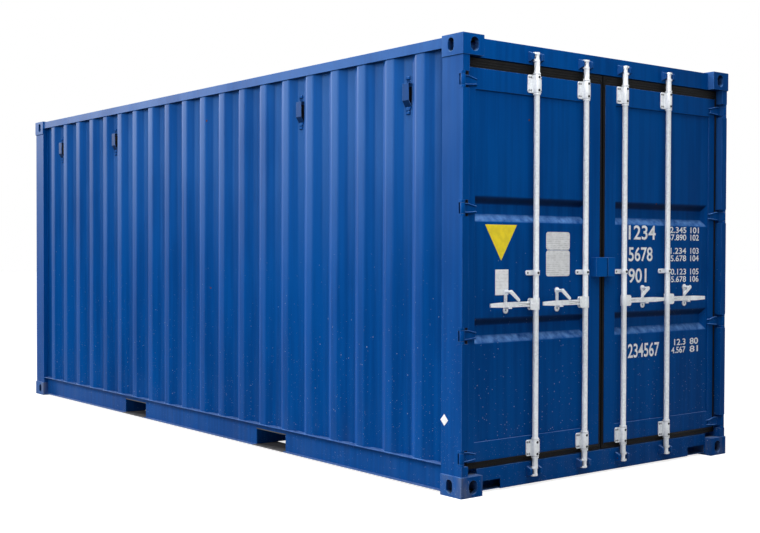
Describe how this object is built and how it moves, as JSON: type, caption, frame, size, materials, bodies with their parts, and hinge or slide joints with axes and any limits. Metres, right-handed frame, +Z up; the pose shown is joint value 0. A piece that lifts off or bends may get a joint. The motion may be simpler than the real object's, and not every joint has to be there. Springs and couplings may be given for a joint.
{
  "type": "freight container",
  "caption": "Steel box for freight with corrugated walls, corner castings, fork tunnels and two end doors closed by turning bars.",
  "frame": {"origin": "middle of the base, on the plane of the four bottom casting faces", "axes": "+Z up, X across the width with the left side at low X, Y along the length with the doors at low Y"},
  "size_m": [2.438, 6.058, 2.591],
  "materials": {
    "container_paint": "worn blue container paint with dust and scratches",
    "casting_paint": "blue paint over cast steel, scuffed and dusty",
    "underside_coating": "matt dark wax coating",
    "floor_wood": "worn plywood floor",
    "pin_steel": "bare steel pin",
    "rubber_seal": "matt black rubber",
    "zinc_gear": "pale hot dip zinc coat, slightly mottled"
  },
  "bodies": {
    "root": {"top_corner_castings": "casting_paint", "bottom_corner_castings": "casting_paint", "door_end_posts": "container_paint", "front_end_posts": "container_paint", "door_header": "container_paint", "door_sill": "container_paint", "front_header": "container_paint", "front_sill": "container_paint", "top_side_rails": "container_paint", "bottom_side_rails": "container_paint", "left_side_wall": "container_paint", "right_side_wall": "container_paint", "front_wall": "container_paint", "roof_panel": "container_paint", "roof_end_plates": "container_paint", "crossmembers": "underside_coating", "fork_pockets": "underside_coating", "fork_frames": "container_paint", "floor_boards": "floor_wood", "cam_keepers": "zinc_gear", "side_vents": "container_paint", "hinge_pins": "pin_steel"},
    "left_door": {"left_door_frame": "container_paint", "left_door_panel": "container_paint", "left_door_gasket": "rubber_seal", "left_door_hinges": "container_paint", "left_bar_brackets": "zinc_gear", "left_handle_rests": "zinc_gear", "left_lock_box": "container_paint"},
    "left_outer_bar": {"left_outer_bar": "zinc_gear"},
    "left_outer_handle": {"left_outer_handle": "zinc_gear"},
    "left_outer_catch": {"left_outer_catch": "zinc_gear"},
    "left_inner_bar": {"left_inner_bar": "zinc_gear"},
    "left_inner_handle": {"left_inner_handle": "zinc_gear"},
    "left_inner_catch": {"left_inner_catch": "zinc_gear"},
    "right_door": {"right_door_frame": "container_paint", "right_door_panel": "container_paint", "right_door_gasket": "rubber_seal", "right_door_hinges": "container_paint", "right_bar_brackets": "zinc_gear", "right_handle_rests": "zinc_gear", "right_lock_box": "container_paint"},
    "right_outer_bar": {"right_outer_bar": "zinc_gear"},
    "right_outer_handle": {"right_outer_handle": "zinc_gear"},
    "right_outer_catch": {"right_outer_catch": "zinc_gear"},
    "right_inner_bar": {"right_inner_bar": "zinc_gear"},
    "right_inner_handle": {"right_inner_handle": "zinc_gear"},
    "right_inner_catch": {"right_inner_catch": "zinc_gear"}
  },
  "joints": [
    {"name": "left_door_swing", "type": "hinge", "parent": "root", "child": "left_door", "pos_m": [-1.201, -3.011, 1.3], "axis": [0, 0, -1], "range_deg": [0, 265]},
    {"name": "left_outer_bar_turn", "type": "hinge", "parent": "left_door", "child": "left_outer_bar", "pos_m": [-0.61, -3.003, 1.3], "axis": [0, 0, -1], "range_deg": [-110, 0]},
    {"name": "left_outer_handle_lift", "type": "hinge", "parent": "left_outer_bar", "child": "left_outer_handle", "pos_m": [-0.65, -3.003, 1.072], "axis": [0, 1, 0], "range_deg": [0, 12]},
    {"name": "left_outer_catch_swivel", "type": "hinge", "parent": "left_door", "child": "left_outer_catch", "pos_m": [-0.828, -3.019, 1.146], "axis": [0, -1, 0], "range_deg": [-52, 100]},
    {"name": "left_inner_bar_turn", "type": "hinge", "parent": "left_door", "child": "left_inner_bar", "pos_m": [-0.18, -3.003, 1.3], "axis": [0, 0, -1], "range_deg": [-110, 0]},
    {"name": "left_inner_handle_lift", "type": "hinge", "parent": "left_inner_bar", "child": "left_inner_handle", "pos_m": [-0.22, -3.003, 1.072], "axis": [0, 1, 0], "range_deg": [0, 12]},
    {"name": "left_inner_catch_swivel", "type": "hinge", "parent": "left_door", "child": "left_inner_catch", "pos_m": [-0.398, -3.019, 1.146], "axis": [0, -1, 0], "range_deg": [-52, 100]},
    {"name": "right_door_swing", "type": "hinge", "parent": "root", "child": "right_door", "pos_m": [1.201, -3.011, 1.3], "axis": [0, 0, 1], "range_deg": [0, 265]},
    {"name": "right_outer_bar_turn", "type": "hinge", "parent": "right_door", "child": "right_outer_bar", "pos_m": [0.61, -3.003, 1.3], "axis": [0, 0, 1], "range_deg": [-110, 0]},
    {"name": "right_outer_handle_lift", "type": "hinge", "parent": "right_outer_bar", "child": "right_outer_handle", "pos_m": [0.65, -3.003, 1.072], "axis": [0, -1, 0], "range_deg": [0, 12]},
    {"name": "right_outer_catch_swivel", "type": "hinge", "parent": "right_door", "child": "right_outer_catch", "pos_m": [0.828, -3.019, 1.146], "axis": [0, 1, 0], "range_deg": [-52, 100]},
    {"name": "right_inner_bar_turn", "type": "hinge", "parent": "right_door", "child": "right_inner_bar", "pos_m": [0.18, -3.003, 1.3], "axis": [0, 0, 1], "range_deg": [-110, 0]},
    {"name": "right_inner_handle_lift", "type": "hinge", "parent": "right_inner_bar", "child": "right_inner_handle", "pos_m": [0.22, -3.003, 1.072], "axis": [0, -1, 0], "range_deg": [0, 12]},
    {"name": "right_inner_catch_swivel", "type": "hinge", "parent": "right_door", "child": "right_inner_catch", "pos_m": [0.398, -3.019, 1.146], "axis": [0, 1, 0], "range_deg": [-52, 100]}
  ]
}
